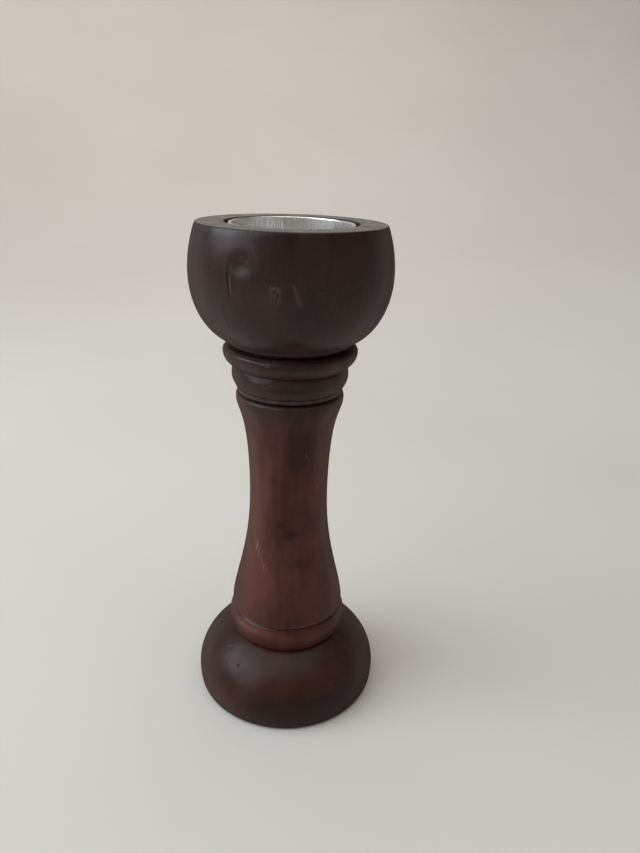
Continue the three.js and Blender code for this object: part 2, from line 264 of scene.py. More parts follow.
class Outline:
    """A half section with its curves filled in and its corners eased."""

    def __init__(self, node, straight_step=STRAIGHT_STEP):
        self.straight_step = straight_step
        self.given, self.closed = read_outline(node)
        self.find_turns()
        self.find_tangents()
        self.fill()

    def find_turns(self):
        """The chord after each given point, whether it is a straight cut, and the turn at the point."""
        points = self.given
        count = len(points)
        self.spans = count if self.closed else count - 1
        chords = [points[(i + 1) % count] - points[i] for i in range(self.spans)]
        self.straight = []
        for i, chord in enumerate(chords):
            level = min(abs(chord.x), abs(chord.y)) < EXACT
            beside = [chords[(i + k) % self.spans].length for k in (-1, 1)]
            self.straight.append(level or chord.length > LONG_SHARE * max(beside))
        self.turn = [math.pi] * count
        for i in range(count):
            if self.closed or 0 < i < count - 1:
                self.turn[i] = turn_between(chords[i - 1], chords[i])
        self.chords = chords

    def is_end(self, i):
        return not self.closed and i in (0, len(self.given) - 1)

    def is_corner(self, i):
        beside = self.straight[i - 1] or self.straight[i % self.spans]
        return self.is_end(i) or abs(self.turn[i]) > (STRAIGHT_TURN if beside else CORNER_TURN)

    def find_tangents(self):
        """Direction of the curve at each given point that isn't a corner."""
        self.tangents = []
        for i in range(len(self.given)):
            if self.is_corner(i):
                self.tangents.append(None)
                continue
            before, after = self.chords[i - 1], self.chords[i]
            if self.straight[i - 1]:
                tangent = before
            elif self.straight[i]:
                tangent = after
            else:
                first, second = math.sqrt(before.length), math.sqrt(after.length)
                tangent = before / first + after / second - (before + after) / (first + second)
            self.tangents.append(tangent.normalized())

    def span_points(self, i):
        """Points from one given point up to the next, without the last."""
        start = self.given[i]
        chord = self.chords[i]
        leave = self.tangents[i]
        arrive = self.tangents[(i + 1) % len(self.given)]
        if self.straight[i] or (leave is None and arrive is None):
            steps = max(1, round(chord.length / self.straight_step))
            shares = {k / steps for k in range(steps)}
            if chord.length > SUPPORT_ROOM:
                shares |= {SUPPORT / chord.length, 1 - SUPPORT / chord.length}
            return [start + share * chord for share in sorted(shares)]
        along = chord.normalized()
        leave = leave or (2 * along.dot(arrive) * along - arrive)
        arrive = arrive or (2 * along.dot(leave) * along - leave)
        steps = max(2, math.ceil(chord.length / CURVE_STEP))
        return [self.bend(start, chord, leave, arrive, k / steps) for k in range(steps)]

    @staticmethod
    def bend(start, chord, leave, arrive, t):
        """Point on the cubic between two points with given directions."""
        reach = chord.length
        return (start + (3 * t * t - 2 * t ** 3) * chord
                + (t ** 3 - 2 * t * t + t) * reach * leave
                + (t ** 3 - t * t) * reach * arrive)

    def fill(self):
        """Fills in the spans, eases the corners and notes how near each point is to an edge or a crease."""
        spans = [self.span_points(i) for i in range(self.spans)]
        path = []
        for i, point in enumerate(self.given):
            if self.tangents[i] is None and not self.is_end(i):
                path += self.eased(i, spans)
            else:
                path.append(point)
            if i < self.spans:
                path += [p for p in spans[i][1:] if self.clear_of_corners(p, i)]
        self.points = np.array([tuple(p) for p in path])
        self.points[:, 0] = np.maximum(self.points[:, 0], 0)
        self.edge = self.nearness(1, EDGE_REACH)
        self.crease = self.nearness(-1, CREASE_REACH)

    def ease_length(self, i):
        beside = min(self.chords[i - 1].length, self.chords[i % self.spans].length)
        return min(CORNER_EASE, EASE_MOST * beside)

    def clear_of_corners(self, point, i):
        ends = (i, (i + 1) % len(self.given))
        return all(self.tangents[k] is not None
                   or (point - self.given[k]).length > EASE_CLEAR * self.ease_length(k)
                   for k in ends)

    def eased(self, i, spans):
        """Points round a given corner, in place of it."""
        corner = self.given[i]
        reach = self.ease_length(i)
        into = (spans[i - 1][-1] - corner).normalized() * reach
        away_to = spans[i][1] if len(spans[i]) > 1 else corner + self.chords[i]
        away = (away_to - corner).normalized() * reach
        shares = [k / CORNER_POINTS for k in range(CORNER_POINTS + 1)]
        return [corner + (1 - t) ** 2 * into + t * t * away for t in shares]

    def nearness(self, sign, reach):
        """One at the corners that turn that way, fading with the distance from them."""
        near = np.zeros(len(self.points))
        for i, corner in enumerate(self.given):
            turn = self.turn[i] * sign
            if self.tangents[i] is None and 0 < turn < math.pi - EXACT:
                gap = np.hypot(*(self.points - np.array(corner)).T)
                near = np.maximum(near, min(1, turn / FULL_TURN) * np.exp(-(gap / reach) ** 2))
        return near


def front_columns():
    """Angles round the axis from the side that faces the photograph, finer there."""
    front = np.linspace(-FRONT_HALF, FRONT_HALF, round(2 * FRONT_HALF / FRONT_STEP) + 1)
    rest = 2 * math.pi - 2 * FRONT_HALF
    back = FRONT_HALF + np.linspace(0, rest, round(rest / BACK_STEP) + 1)[1:-1]
    return np.concatenate([front, back])


def even_columns(count):
    return np.arange(count) * 2 * math.pi / count


class Turned:
    """Surface of a turned piece: rows up its half section, columns round the axis, and the wear, dirt,
    painted shade and painted highlights on it.
    """

    def __init__(self, node, columns, outline=None):
        self.node = node
        self.outline = outline or Outline(node)
        self.radius, self.height = self.outline.points.T
        self.angle = columns
        step = np.gradient(self.outline.points, axis=0)
        step /= np.linalg.norm(step, axis=1)[:, None]
        self.normal = np.stack([step[:, 1], -step[:, 0]], axis=1)
        run = np.hypot(*np.diff(self.outline.points, axis=0).T)
        self.run = np.concatenate([[0], np.cumsum(run)])
        shape = (len(self.radius), len(columns))
        self.lift = np.zeros(shape)
        self.sag = np.zeros(shape)
        self.marks = {name: np.zeros(shape) for name in ("tone", "scuff_and_highlight", "cool", "level")}
        # Nearness to edges, which go paler with wear and painted highlight, and to creases, which go darker
        # with dirt and painted shade
        self.marks["edge"] = np.repeat(self.outline.edge[:, None], len(columns), axis=1)
        self.marks["crease"] = np.repeat(self.outline.crease[:, None], len(columns), axis=1)

    def places(self):
        radius = self.radius[:, None] + self.lift * self.normal[:, :1]
        height = self.height[:, None] + self.lift * self.normal[:, 1:] - self.sag
        return np.stack([radius * np.sin(self.angle), -radius * np.cos(self.angle),
                         height + 0 * self.angle], axis=-1)

    def local(self, azimuth, height, tilt=0.0, reach=MARK_REACH):
        """Distances across and along a mark that lies on the outside at that azimuth and height."""
        near = np.abs(self.height - height * MM) < reach * MM
        row = np.argmax(np.where(near, self.radius, 0))
        round_by = np.angle(np.exp(1j * (self.angle - math.radians(azimuth))))
        across = self.radius[:, None] * round_by
        along = (self.run - self.run[row])[:, None] + 0 * across
        c, s = math.cos(math.radians(tilt)), math.sin(math.radians(tilt))
        return (c * across - s * along) / MM, (s * across + c * along) / MM

    def waver(self, seed):
        """Slow unevenness left by the hand that sanded it."""
        places = self.places() / WAVER_SIZE + seed
        uneven = [noise.noise(Vector(p)) for p in places.reshape(-1, 3)]
        shown = np.clip(self.radius / WAVER_FROM - 1, 0, 1)[:, None]
        self.lift += WAVER * shown * np.array(uneven).reshape(self.lift.shape)

    def build(self, body, material):
        """The finished piece, in place of its node."""
        rows, columns = self.lift.shape
        places = self.places()
        index = np.arange(rows * columns).reshape(rows, columns)
        faces = []
        last = rows if self.outline.closed else rows - 1
        for i in range(last):
            here, above = index[i], index[(i + 1) % rows]
            faces += zip(here, np.roll(here, -1), np.roll(above, -1), above)
        mesh = bpy.data.meshes.new(self.node)
        mesh.from_pydata(places.reshape(-1, 3).tolist(), [], [[int(k) for k in f] for f in faces])
        for name, values in self.marks.items():
            layer = mesh.attributes.new(name, "FLOAT", "POINT")
            layer.data.foreach_set("value", values.astype(np.float32).ravel())
        return finish_piece(mesh, self.node, body, material)


def finish_piece(mesh, node, body, material):
    """Welds a mesh, shades it smooth and lets it stand for its node."""
    welded = bmesh.new()
    welded.from_mesh(mesh)
    bmesh.ops.remove_doubles(welded, verts=welded.verts, dist=EXACT)
    bmesh.ops.recalc_face_normals(welded, faces=welded.faces)
    welded.to_mesh(mesh)
    welded.free()
    mesh.shade_smooth()
    piece = bpy.data.objects.new(node + "_finish", mesh)
    bpy.context.scene.collection.objects.link(piece)
    mesh.materials.append(material)
    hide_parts(node)
    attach(piece, body)
    return piece


# Nodes of the materials


def feed(tree, socket, value):
    """Links an input to an output, or sets it."""
    if isinstance(value, bpy.types.NodeSocket):
        tree.links.new(value, socket)
    else:
        socket.default_value = value


def add_node(tree, kind, inputs=None, **settings):
    """A shader node with its settings, and its inputs set or linked by name or number."""
    made = tree.nodes.new(kind)
    for name, value in settings.items():
        setattr(made, name, value)
    for name, value in (inputs or {}).items():
        feed(tree, made.inputs[name], value)
    return made


def new_material(name, **constants):
    """An empty material, its node tree and its shader, with the inputs that are the same all over."""
    material = bpy.data.materials.new(name)
    material.use_nodes = True
    tree = material.node_tree
    shader = tree.nodes["Principled BSDF"]
    for label, value in constants.items():
        shader.inputs[label.replace("_", " ")].default_value = value
    return material, tree, shader


def position(tree, shift=(0, 0, 0)):
    where = add_node(tree, "ShaderNodeTexCoord").outputs["Object"]
    return add_node(tree, "ShaderNodeMapping", {"Vector": where, "Location": shift}).outputs[0]


def rescaled(tree, where, scale):
    return add_node(tree, "ShaderNodeMapping", {"Vector": where, "Scale": scale}).outputs[0]


def swayed_by_noise(tree, where):
    """Places moved a little, so that what runs straight wanders."""
    drift = add_node(tree, "ShaderNodeTexNoise", {"Vector": where, "Scale": SWAY_SCALE, "Detail": 2.0})
    sway = {0: drift.outputs["Color"], 1: SWAY}
    sway = add_node(tree, "ShaderNodeVectorMath", sway, operation="MULTIPLY")
    moved = add_node(tree, "ShaderNodeVectorMath", {0: where, 1: sway.outputs[0]}, operation="ADD")
    return moved.outputs[0]


def cloud(tree, where, scale, detail=2.0, rough=0.5):
    inputs = {"Vector": where, "Scale": scale, "Detail": detail, "Roughness": rough}
    return add_node(tree, "ShaderNodeTexNoise", inputs).outputs["Fac"]


def ranged(tree, value, low, high, to_low=0.0, to_high=1.0):
    inputs = {"Value": value, "From Min": low, "From Max": high, "To Min": to_low, "To Max": to_high}
    return add_node(tree, "ShaderNodeMapRange", inputs, clamp=True).outputs[0]


def maths(tree, operation, first, second):
    return add_node(tree, "ShaderNodeMath", {0: first, 1: second}, operation=operation).outputs[0]


def weighted(tree, first, *others):
    """Sum of values, each given with its weight."""
    total = maths(tree, "MULTIPLY", *first)
    for value, weight in others:
        total = maths(tree, "ADD", total, maths(tree, "MULTIPLY", value, weight))
    return total


def mixed(tree, share, first, second):
    """Colour between two, by a share, from the sockets that the node has for colours."""
    made = add_node(tree, "ShaderNodeMix", data_type="RGBA")
    share_socket, first_socket, second_socket = made.inputs[0], made.inputs[6], made.inputs[7]
    feed(tree, share_socket, share)
    for socket, colour in ((first_socket, first), (second_socket, second)):
        feed(tree, socket, (*colour, 1.0) if isinstance(colour, tuple) else colour)
    return made.outputs[2]


def shaded(colour, by):
    return tuple(by * c for c in colour)


def painted(tree, name):
    return add_node(tree, "ShaderNodeAttribute", attribute_name=name).outputs["Fac"]


def bumped(tree, height, strength, distance, normal=None, sunk=False):
    inputs = {"Height": height, "Strength": strength, "Distance": distance}
    if normal:
        inputs["Normal"] = normal
    return add_node(tree, "ShaderNodeBump", inputs, invert=sunk).outputs[0]


def wood(name, deep, warm, bare_and_highlight, shift, rough_at, shine):
    """Dark stained hardwood under a satin lacquer: grain up the axis, pores, blotches, rubbed edges that
    also carry painted highlights, and creases darkened with dirt and painted shade.
    """
    material, tree, shader = new_material(name, Specular_IOR_Level=shine)
    where = position(tree, shift)
    swayed = swayed_by_noise(tree, where)
    fibre_space = rescaled(tree, swayed, FIBRE_STRETCH)
    fibre = cloud(tree, fibre_space, scale=420.0, detail=2.5, rough=0.6)
    hair = cloud(tree, fibre_space, scale=2600.0, detail=1.0)
    rings = cloud(tree, rescaled(tree, swayed, RING_STRETCH), scale=95.0, detail=3.0, rough=0.45)
    blotch = cloud(tree, rescaled(tree, where, BLOTCH_STRETCH), scale=55.0, detail=3.0, rough=0.55)
    pores = cloud(tree, fibre_space, scale=3200.0, detail=1.0, rough=0.4)
    pores = ranged(tree, pores, low=0.66, high=0.74)

    grain = weighted(tree, (fibre, 0.26), (rings, 0.34), (blotch, 0.65), (painted(tree, "tone"), 0.5))
    grain = ranged(tree, grain, low=0.42, high=0.84)
    stained = mixed(tree, grain, deep, warm)
    colour = mixed(tree, painted(tree, "cool"), stained, mixed(tree, grain, *COOL_WOOD))
    pored = ranged(tree, pores, low=0.0, high=1.0, to_high=PORE_SHARE)
    colour = mixed(tree, pored, colour, shaded(deep, PORE_SHADE))
    # Edges and scuffs go paler, towards bare wood: wear, and in places painted highlight
    streaky = ranged(tree, fibre, low=0.4, high=0.65, to_low=0.1, to_high=0.3)
    wear_and_highlight = maths(tree, "MULTIPLY", painted(tree, "edge"), streaky)
    wear_and_highlight = maths(tree, "ADD", wear_and_highlight, painted(tree, "scuff_and_highlight"))
    colour = mixed(tree, ranged(tree, wear_and_highlight, low=0.0, high=1.0), colour, bare_and_highlight)
    # Creases go darker: dirt and painted shade
    dirt_and_shade = ranged(tree, painted(tree, "crease"), low=0.05, high=2.0, to_high=0.95)
    colour = mixed(tree, dirt_and_shade, colour, shaded(deep, DIRT_AND_SHADE_DARKNESS))
    tree.links.new(colour, shader.inputs["Base Color"])

    smear = cloud(tree, rescaled(tree, where, SMEAR_STRETCH), scale=120.0, detail=4.0, rough=0.6)
    rough = ranged(tree, smear, low=0.3, high=0.7, to_low=rough_at - SMEAR_SMOOTHER,
                   to_high=rough_at + SMEAR_ROUGHER)
    rough = maths(tree, "ADD", rough, maths(tree, "MULTIPLY", wear_and_highlight, RUB_ROUGH))
    glance = add_node(tree, "ShaderNodeLayerWeight", {"Blend": 0.5}).outputs["Facing"]
    glance = maths(tree, "SUBTRACT", glance, painted(tree, "level"))
    rough = maths(tree, "ADD", rough, ranged(tree, glance, low=0.4, high=0.9, to_high=GLANCE_ROUGH))
    tree.links.new(rough, shader.inputs["Roughness"])

    lathe = cloud(tree, rescaled(tree, where, LATHE_STRETCH), scale=1500.0)
    relief = bumped(tree, fibre, strength=0.05, distance=0.1 * MM)
    relief = bumped(tree, hair, strength=0.04, distance=0.05 * MM, normal=relief)
    relief = bumped(tree, lathe, strength=0.03, distance=0.08 * MM, normal=relief)
    relief = bumped(tree, pores, strength=0.02, distance=0.05 * MM, normal=relief, sunk=True)
    tree.links.new(relief, shader.inputs["Normal"])
    return material


def drawn_metal(name, colour, dull, rough_low, rough_high):
    """Drawn sheet metal: fine lines along the draw, cloudy dulling and small pits."""
    material, tree, shader = new_material(name, Metallic=1.0)
    where = position(tree)
    lines = cloud(tree, rescaled(tree, where, DRAW_STRETCH), scale=1100.0, detail=3.0, rough=0.6)
    haze = cloud(tree, where, scale=150.0, detail=4.0, rough=0.6)
    tint = mixed(tree, ranged(tree, haze, low=0.35, high=0.7, to_high=0.5), colour, dull)
    tint = mixed(tree, ranged(tree, lines, low=0.42, high=0.68, to_high=0.7), tint, dull)
    patchy = ranged(tree, haze, low=0.3, high=0.7, to_low=0.6)
    used = maths(tree, "MULTIPLY", painted(tree, "level"), patchy)
    tint = mixed(tree, used, tint, shaded(dull, USED_SHADE))
    tree.links.new(tint, shader.inputs["Base Color"])
    hazy = ranged(tree, haze, low=0.3, high=0.7, to_low=rough_low, to_high=rough_high)
    rough = maths(tree, "ADD", hazy, ranged(tree, lines, low=0.3, high=0.7, to_low=-0.04, to_high=0.05))
    rough = maths(tree, "ADD", rough, maths(tree, "MULTIPLY", used, USED_ROUGH))
    tree.links.new(rough, shader.inputs["Roughness"])
    relief = bumped(tree, lines, strength=0.12, distance=0.03 * MM)
    pits = cloud(tree, where, scale=900.0)
    relief = bumped(tree, pits, strength=0.03, distance=0.05 * MM, normal=relief)
    tree.links.new(relief, shader.inputs["Normal"])
    return material


def felt_material(name, dark, light):
    """Pressed felt: matted fibres with a soft sheen."""
    material, tree, shader = new_material(name, Roughness=0.95, Sheen_Weight=0.4, Sheen_Roughness=0.5)
    where = position(tree)
    mat = cloud(tree, where, scale=1400.0, detail=5.0, rough=0.7)
    lint = cloud(tree, rescaled(tree, where, (1, 0.2, 1)), scale=2400.0, rough=0.6)
    lint = ranged(tree, lint, low=0.62, high=0.72)
    colour = mixed(tree, ranged(tree, mat, low=0.3, high=0.7), dark, light)
    colour = mixed(tree, ranged(tree, lint, low=0.0, high=1.0, to_high=0.4), colour, shaded(light, 2))
    tree.links.new(colour, shader.inputs["Base Color"])
    tree.links.new(bumped(tree, mat, strength=0.6, distance=0.3 * MM), shader.inputs["Normal"])
    return material


def stage_material(name, colour, shade):
    """Pale matte paper."""
    material, tree, shader = new_material(name, Roughness=0.9, Specular_IOR_Level=0.2)
    where = position(tree)
    tone = ranged(tree, cloud(tree, where, scale=3.0, detail=3.0), low=0.3, high=0.7)
    tree.links.new(mixed(tree, tone, colour, shade), shader.inputs["Base Color"])
    tooth = cloud(tree, where, scale=900.0, detail=3.0, rough=0.6)
    tree.links.new(bumped(tree, tooth, strength=0.05, distance=0.2 * MM), shader.inputs["Normal"])
    return material


# Marks on the wood, in the units given above


def hump(distance, width):
    return np.exp(-(distance / width) ** 2)


def stroke(along, length, fade):
    """One along a stretch, with soft ends."""
    return np.clip((length / 2 + fade - np.abs(along)) / fade, 0, 1)


def dent(surface, azimuth, height, width, length, depth):
    """Broad shallow hollow."""
    across, along = surface.local(azimuth, height)
    surface.lift -= depth * MM * hump(np.hypot(across / width, along / length), 1.0)


def worn_flat(surface, azimuth, low, high, width):
    """Flat that handling has rubbed on a bead, between two heights."""
    across, _ = surface.local(azimuth, (low + high) / 2)
    inside = (surface.height > low * MM) & (surface.height < high * MM)
    rows = np.flatnonzero(inside & (surface.radius > surface.radius.max() / 2))
    rows = rows[np.argsort(surface.height[rows])]
    ends = rows[[0, -1]]
    chord = np.interp(surface.height[rows], surface.height[ends], surface.radius[ends])
    surface.lift[rows] += (chord - surface.radius[rows])[:, None] * hump(across[rows], width)


def slit(surface, azimuth, height, length, width, depth, tilt=0.0):
    """Thin split, darkened with dirt and painted shade, with a pale line along the lower part of one side.
    """
    across, along = surface.local(azimuth, height, tilt)
    split = stroke(along, length, SLIT_FADE) * hump(across, width)
    surface.lift -= depth * MM * split
    surface.marks["crease"] += SLIT_DIRT_AND_SHADE * split
    pale = stroke(along + SLIT_PALE_DROP * length, SLIT_PALE_LENGTH * length, SLIT_PALE_FADE)
    beside = hump(across - SLIT_PALE_ASIDE * width, SLIT_PALE_WIDTH * width)
    surface.marks["scuff_and_highlight"] += SLIT_PALE * pale * beside


def scuffed(surface, azimuth, height, length, width, strength, tilt=0.0, taper=0.0):
    """Rubbed stroke where the stain has gone."""
    across, along = surface.local(azimuth, height, tilt)
    wide = np.maximum(width * (1 + taper * along / length), SCUFF_THINNEST)
    surface.marks["scuff_and_highlight"] += strength * stroke(along, length, SCUFF_FADE) * hump(across, wide)


def nick(surface, azimuth, height, size, depth, pale):
    """Small dent, pale where it is fresh and, below zero, dark where it is old, with dirt and painted
    shade.
    """
    across, along = surface.local(azimuth, height)
    spot = hump(np.hypot(across, along), size)
    surface.lift -= depth * MM * spot
    surface.marks["scuff_and_highlight"] += max(pale, 0) * spot
    surface.marks["tone"] += min(pale, 0) * spot
    surface.marks["crease"] -= NICK_DIRT_AND_SHADE * min(pale, 0) * spot


def scribed(surface, height, width, depth):
    """Shallow turned line all round, on the outside; a filled one where the depth is below zero."""
    _, along = surface.local(0, height)
    surface.lift -= depth * MM * hump(along, width)


def ring_mark(surface, mark, height, width, strength):
    """Line of a mark all round, on the outside: here painted highlights along edges and painted shade in a
    scribed line.
    """
    _, along = surface.local(0, height, reach=LINE_REACH)
    surface.marks[mark] += strength * hump(along, width)


def tone_patch(surface, azimuth, height, width, length, strength, tilt):
    """Patch darker or lighter in tone: mostly where the stain took so, in a few places painted reflection
    and highlight.
    """
    across, along = surface.local(azimuth, height, tilt)
    surface.marks["tone"] += strength * hump(np.hypot(across / width, along / length), 1.0)


def speckle(surface, seed, azimuth, height, wide, tall, count, pale):
    """Cluster of small pale specks."""
    draw = random.Random(seed)
    for _ in range(count):
        nick(surface, draw.gauss(azimuth, wide), draw.gauss(height, tall), draw.uniform(0.25, 0.45),
             SPECK_DEPTH, pale * draw.uniform(0.4, 1))


def scatter(surface, seed, low, high, count):
    """Light handling marks all round, between two heights."""
    draw = random.Random(seed)
    for _ in range(count):
        azimuth = draw.uniform(0, 360)
        height = draw.uniform(low, high)
        if draw.random() < 0.5:
            scuffed(surface, azimuth, height, draw.uniform(1, 6), HANDLING_WIDTH,
                    draw.uniform(0.02, 0.09), draw.uniform(-90, 90))
        else:
            nick(surface, azimuth, height, draw.uniform(0.3, 0.6), draw.uniform(0.02, 0.06),
                 draw.uniform(-0.2, 0.15))


# Pieces


def make_bowl():
    bowl = Turned("bowl", front_columns())
    bowl.waver(seed=3.1)
    bowl.marks["level"] += (bowl.normal[:, 1] > LEVEL_RIM)[:, None]
    # Painted shade on the socket's edge, in place of a paler worn edge
    shaded_gap_edge = (bowl.radius < GAP_EDGE_RADIUS) & (bowl.height > bowl.height.max() - GAP_EDGE_DEPTH)
    bowl.marks["edge"][shaded_gap_edge] = 0
    bowl.marks["crease"][shaded_gap_edge] += GAP_EDGE_PAINTED_SHADE
    dent(bowl, azimuth=-26, height=241.2, width=4.5, length=4.2, depth=1.0)
    slit(bowl, azimuth=-32.8, height=234, length=8.5, width=0.45, depth=0.3, tilt=-7)
    scuffed(bowl, azimuth=-35, height=236, length=6, width=0.3, strength=0.1, tilt=-7)
    for step in range(3):  # fine lines over the dent
        scuffed(bowl, azimuth=-31.5 + 3 * step, height=245.6 - 1.3 * step, length=6, width=0.25,
                strength=0.1, tilt=86 + 3 * step)
    speckle(bowl, seed=5, azimuth=-20.5, height=246, wide=2.2, tall=3.2, count=12, pale=0.3)
    for azimuth, height, length, tilt in BOWL_STROKES:
        scuffed(bowl, azimuth, height, length, width=0.28, strength=0.25, tilt=tilt)
    scuffed(bowl, azimuth=2.8, height=229.4, length=8, width=0.6, strength=0.28, tilt=-20, taper=-0.5)
    for azimuth, tilt in ((21, 40), (22.6, -40)):  # a faint peak
        scuffed(bowl, azimuth, height=227.5, length=2.2, width=0.35, strength=0.08, tilt=tilt)
    scatter(bowl, seed=11, low=204, high=252, count=18)
    material = wood("bowl_stain", deep=(0.0160, 0.0077, 0.0069), warm=(0.044, 0.0215, 0.0188),
                    bare_and_highlight=(0.18, 0.092, 0.08), shift=(0.3, 0.1, 0.2), rough_at=0.28, shine=0.24)
    bowl.build("holder", material)


def shade_and_cool_neck(column):
    """Cools the stain of the neck, paints shade into its groove and keeps most of the dirt and painted
    shade off the crease over the lip.
    """
    height = column.height[:, None] / MM
    column.marks["cool"] += np.clip((height - COOL_FROM) / COOL_OVER, 0, COOL_MOST)
    within = (column.radius < NECK_GROOVE_RADIUS)[:, None]
    groove = (height > NECK_GROOVE_LOW) & (height < NECK_GROOVE_HIGH) & within
    column.marks["crease"] += NECK_GROOVE_PAINTED_SHADE * groove
    over_lip = (height > NECK_LIP_LOW) & (height < NECK_LIP_HIGH)
    column.marks["crease"] *= np.where(over_lip, NECK_LIP_DIRT_AND_SHADE, 1)


def streak_shaft(column):
    """Short rubbed streaks in a band that runs down to the right, fainter as it goes."""
    draw = random.Random(17)
    for step in range(STREAKS):
        share = step / (STREAKS - 1)
        scuffed(column, -54 + 26 * share + draw.uniform(-2, 2), 98 - 17 * share + draw.uniform(-2, 2),
                length=draw.uniform(1.5, 4), width=0.27,
                strength=draw.uniform(0.3, 0.8) * (1 - 0.5 * share), tilt=draw.uniform(-4, 22))


def make_column():
    column = Turned("column", front_columns())
    column.waver(seed=7.7)
    shade_and_cool_neck(column)
    scribed(column, height=43.4, width=0.35, depth=0.2)
    scribed(column, height=187.9, width=0.6, depth=-0.35)
    # Painted highlights along the top edge of the upper bead and just under the neck's groove
    ring_mark(column, "scuff_and_highlight", height=197.0, width=0.4, strength=0.3)
    ring_mark(column, "scuff_and_highlight", height=172.6, width=0.35, strength=0.14)
    # Painted shade in the scribed line at the ring's crown
    ring_mark(column, "crease", height=43.4, width=0.35, strength=0.6)
    # Rubbed stain and painted highlight on the ring's upper cone
    scuffed(column, azimuth=-43, height=46.7, length=13, width=1.2, strength=0.2, tilt=90)
    worn_flat(column, azimuth=-33, low=184.0, high=187.8, width=7)
    dent(column, azimuth=-23, height=197, width=4, length=2, depth=0.4)
    nick(column, azimuth=-23.2, height=196, size=0.5, depth=0.12, pale=0.35)
    speckle(column, seed=8, azimuth=-22, height=194.6, wide=4, tall=1.0, count=14, pale=0.3)
    scuffed(column, azimuth=-21, height=184, length=3, width=0.3, strength=0.15, tilt=70)
    for place_and_size in COLUMN_STAINS_AND_PAINTED_LIGHT:
        tone_patch(column, *place_and_size)
    scuffed(column, azimuth=23.1, height=146.1, length=1.6, width=0.35, strength=0.4)
    scuffed(column, azimuth=43.2, height=126.1, length=1.8, width=0.4, strength=0.5)
    streak_shaft(column)
    scatter(column, seed=23, low=54, high=190, count=45)
    material = wood("column_stain", deep=(0.029, 0.0074, 0.0055), warm=(0.098, 0.0300, 0.0218),
                    bare_and_highlight=(0.22, 0.128, 0.105), shift=(0.1, 0.25, 0.0), rough_at=0.31, shine=0.20)
    column.build("holder", material)


def make_base():
    base = Turned("base", front_columns())
    base.waver(seed=1.9)
    nick(base, azimuth=-55, height=31.0, size=0.5, depth=0.5, pale=-1.5)
    nick(base, azimuth=-39.2, height=28.1, size=0.5, depth=0.45, pale=-1.5)
    for place_and_size in BASE_STAINS_AND_PAINTED_LIGHT:
        tone_patch(base, *place_and_size)
    scatter(base, seed=31, low=5, high=33, count=12)
    material = wood("base_stain", deep=(0.0205, 0.0074, 0.0064), warm=(0.050, 0.0180, 0.0140),
                    bare_and_highlight=(0.20, 0.11, 0.085), shift=(0.0, 0.4, 0.3), rough_at=0.34, shine=0.19)
    base.build("holder", material)


def make_cup():
    """Thin drawn cup: uneven flutes pressed in its wall, a rim that leans and a floor dulled by use."""
    cup = Turned("candle_cup", even_columns(FLUTES * COLUMNS_PER_FLUTE))
    top = cup.height.max()
    floor = cup.height.min()
    below = np.clip((top - RIM_PLAIN - cup.height) / FLUTE_FADE, 0, 1)
    above = np.clip((cup.height - floor - FOOT_PLAIN) / FLUTE_FADE, 0, 1)
    wall = (np.abs(cup.normal[:, 0]) > UPRIGHT_WALL) * below * above
    wave = 0.5 - 0.5 * np.cos(FLUTES * cup.angle)
    sign = np.sign(cup.normal[:, 0])[:, None]
    draw = random.Random(41)
    deep = np.repeat([draw.uniform(SHALLOW_FLUTE, 1) for _ in range(FLUTES)], COLUMNS_PER_FLUTE)
    cup.lift -= FLUTE_DEPTH * sign * wall[:, None] * wave * deep
    inside_floor = (cup.normal[:, 1] > LEVEL_FLOOR) & (cup.height < floor + FLOOR_REACH)
    cup.marks["level"] += inside_floor[:, None]
    upper = np.clip((cup.height - floor) / (top - floor), 0, 1)
    cup.sag = upper[:, None] ** 2 * (RIM_DROP + RIM_TILT * np.cos(cup.angle))
    material = drawn_metal("cup_aluminium", colour=(0.90, 0.89, 0.88), dull=(0.62, 0.61, 0.60),
                           rough_low=0.24, rough_high=0.32)
    cup.build("cup", material)


def thread_radius(depth, angle, length, shank):
    """Radius of a wood screw at a depth below its head: a plain shank, then a thread up to the tip."""
    phase = (depth / THREAD_PITCH - angle / (2 * math.pi)) % 1
    ridge = np.clip(1 - np.abs(phase - 0.5) / THREAD_FLANK, 0, 1)
    wound = THREAD_CORE + (THREAD_CREST - THREAD_CORE) * ridge
    start = np.clip((depth - PLAIN_SHANK) / THREAD_FADE, 0, 1)
    end = np.clip((length - depth) / THREAD_FADE, 0, 1)
    return shank + start * (end * wound + (1 - end) * THREAD_CORE - shank)


def recess_cutter(head_top, into):
    """Cross that tapers from the top of a screw's head into it, up or down."""
    arm, half = RECESS_ARM, RECESS_WIDTH / 2
    corners = [(half, arm), (half, half), (arm, half)]
    outline = []
    for quarter in range(4):
        c, s = round(math.cos(quarter * math.pi / 2)), round(math.sin(quarter * math.pi / 2))
        outline += [(c * x + s * y, c * y - s * x) for x, y in corners]
    mesh = bmesh.new()
    levels = ((head_top - into * RECESS_DEPTH, RECESS_FLARE),
              (head_top + into * RECESS_DEPTH, RECESS_TAPER))
    low, high = ([mesh.verts.new((x * scale, y * scale, z)) for x, y in outline] for z, scale in levels)
    mesh.faces.new(low)
    mesh.faces.new(high)
    for k in range(len(outline)):
        after = (k + 1) % len(outline)
        mesh.faces.new((low[k], low[after], high[after], high[k]))
    bmesh.ops.recalc_face_normals(mesh, faces=mesh.faces)
    data = bpy.data.meshes.new("recess")
    mesh.to_mesh(data)
    mesh.free()
    return data


